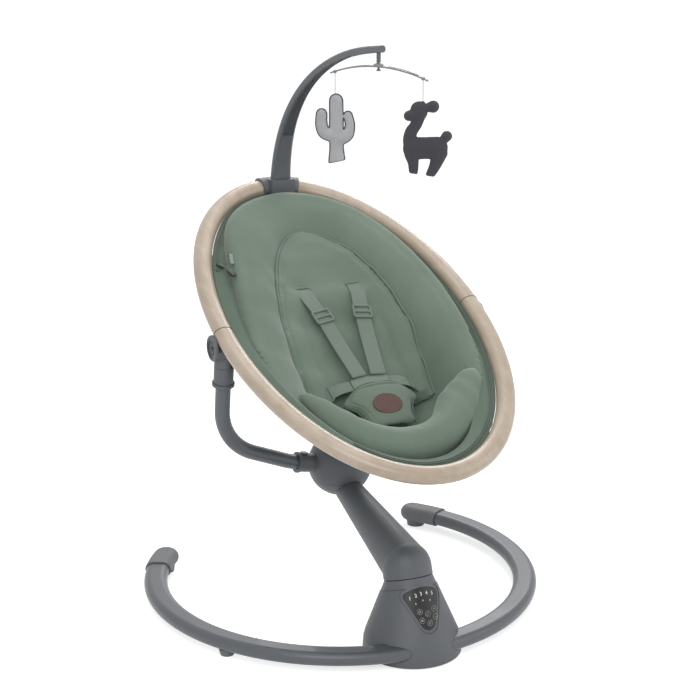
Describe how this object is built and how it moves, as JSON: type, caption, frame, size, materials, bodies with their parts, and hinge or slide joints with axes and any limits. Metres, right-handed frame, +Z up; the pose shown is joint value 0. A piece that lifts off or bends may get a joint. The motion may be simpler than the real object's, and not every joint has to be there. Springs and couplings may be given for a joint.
{
  "type": "baby swing",
  "caption": "Oval bucket seat in a ring, carried by a bent yoke on a leaning neck that sways over a housing with a touch panel and an open floor hoop; toy arm with hanging toys.",
  "frame": {"origin": "on the floor, midway between the sides, under the middle of the seat's oval ring", "axes": "+Z up; +X to the right of someone facing the panel; -Y towards the control panel and the foot end, +Y towards the open end of the floor hoop and the head end"},
  "size_m": [0.646, 0.6682, 0.9032],
  "materials": {
    "frame_plastic": "fine-grained dark grey",
    "badge_brown": "red-brown, smooth",
    "sage_plastic": "satin sage green",
    "toy_grey": "light grey jersey",
    "board_green": "solder mask",
    "panel_gloss": "polished black",
    "cast_metal": "as cast",
    "insert_fabric": "sage green jersey",
    "webbing": "woven sage green webbing",
    "copper_coil": "enamelled winding",
    "magnet": "dull",
    "seat_fabric": "sage green jersey",
    "steel": "turned",
    "hoop_rubber": "matt grey rubber",
    "frame_tube": "dark grey powder coat, fine texture",
    "dark_plastic": "satin near-black grey",
    "housing_plastic": "fine-grained dark grey",
    "toy_dark": "charcoal jersey",
    "mobile_pale": "pale grey",
    "ring_wood_tone": "satin beige, pearly",
    "string_pale": "pale cord",
    "liner_fabric": "sage green tape",
    "zip_dark": "satin"
  },
  "bodies": {
    "base": {"hoop_tube_left": "frame_tube", "hoop_tube_right": "frame_tube", "hoop_end_cap_left": "hoop_rubber", "hoop_end_cap_right": "hoop_rubber", "hoop_mid_feet": "hoop_rubber", "housing_shell": "housing_plastic", "housing_collar": "housing_plastic", "control_panel": "panel_gloss", "circuit_board": "board_green", "power_inlet": "dark_plastic", "housing_base_plate": "dark_plastic", "housing_pads": "hoop_rubber", "core_bracket": "cast_metal", "spindle_bearings": "steel", "drive_coil": "copper_coil"},
    "swing_arm": {"swing_spindle": "steel", "drive_magnet": "magnet", "neck_shell": "housing_plastic", "hub_cover": "housing_plastic", "hub_bracket": "cast_metal", "side_arm_left": "frame_tube", "side_arm_right": "frame_tube", "arm_sleeve_left": "frame_plastic", "arm_sleeve_right": "frame_plastic", "pivot_housing_left": "frame_plastic", "pivot_housing_right": "frame_plastic"},
    "lock_button_left": {"lock_button_left": "dark_plastic"},
    "lock_button_right": {"lock_button_right": "dark_plastic"},
    "recline_button_left": {"recline_button_left": "dark_plastic"},
    "recline_button_right": {"recline_button_right": "dark_plastic"},
    "seat": {"pivot_pins": "steel", "pivot_lugs": "cast_metal", "seat_ring_head": "ring_wood_tone", "seat_ring_foot": "ring_wood_tone", "ring_plugs": "frame_plastic", "seat_shell": "seat_fabric", "zip_band": "liner_fabric", "seat_pad": "seat_fabric", "inner_insert": "insert_fabric", "foot_bolster": "seat_fabric", "shoulder_strap_left": "webbing", "shoulder_strap_right": "webbing", "strap_adjusters": "sage_plastic", "hip_strap_left": "webbing", "hip_strap_right": "webbing", "crotch_strap": "webbing", "crotch_pad": "insert_fabric", "buckle": "sage_plastic", "badge": "badge_brown", "zip_slider": "zip_dark", "zip_toggle": "zip_dark", "toy_arm_clamp": "frame_plastic", "toy_arm": "frame_plastic", "hanger_pin": "steel"},
    "mobile": {"mobile_bar": "mobile_pale"},
    "cactus": {"cactus_toy": "toy_grey", "string_left": "string_pale"},
    "llama": {"llama_toy": "toy_dark", "string_right": "string_pale"}
  },
  "joints": [
    {"name": "sway", "type": "hinge", "parent": "base", "child": "swing_arm", "pos_m": [0, -0.202, 0.113], "axis": [0, 0.342, 0.9397], "range_deg": [-12, 12]},
    {"name": "recline", "type": "hinge", "parent": "swing_arm", "child": "seat", "pos_m": [0, 0.00444, 0.45066], "axis": [1, 0, 0], "range_deg": [-18, 0]},
    {"name": "lock_press_left", "type": "slide", "parent": "swing_arm", "child": "lock_button_left", "axis": [-0.1822, 0.152, -0.9714], "range_m": [0, 0.002], "stiffness_N_per_m": 600, "springref_m": -0.002},
    {"name": "lock_press_right", "type": "slide", "parent": "swing_arm", "child": "lock_button_right", "axis": [0.1822, 0.152, -0.9714], "range_m": [0, 0.002], "stiffness_N_per_m": 600, "springref_m": -0.002},
    {"name": "recline_press_left", "type": "slide", "parent": "swing_arm", "child": "recline_button_left", "axis": [1, 0, 0], "range_m": [0, 0.0015], "stiffness_N_per_m": 600, "springref_m": -0.002},
    {"name": "recline_press_right", "type": "slide", "parent": "swing_arm", "child": "recline_button_right", "axis": [-1, 0, 0], "range_m": [0, 0.0015], "stiffness_N_per_m": 600, "springref_m": -0.002},
    {"name": "mobile_turn", "type": "hinge", "parent": "seat", "child": "mobile", "pos_m": [0.015, -0.063, 0.8714], "axis": [0, 0, 1], "continuous": true},
    {"name": "cactus_swing", "type": "hinge", "parent": "mobile", "child": "cactus", "pos_m": [-0.02677, -0.00107, 0.85849], "axis": [-0.829, -0.5592, 0], "range_deg": [-20, 20]},
    {"name": "llama_swing", "type": "hinge", "parent": "mobile", "child": "llama", "pos_m": [0.05677, -0.12493, 0.85849], "axis": [-0.829, -0.5592, 0], "range_deg": [-20, 20]}
  ]
}
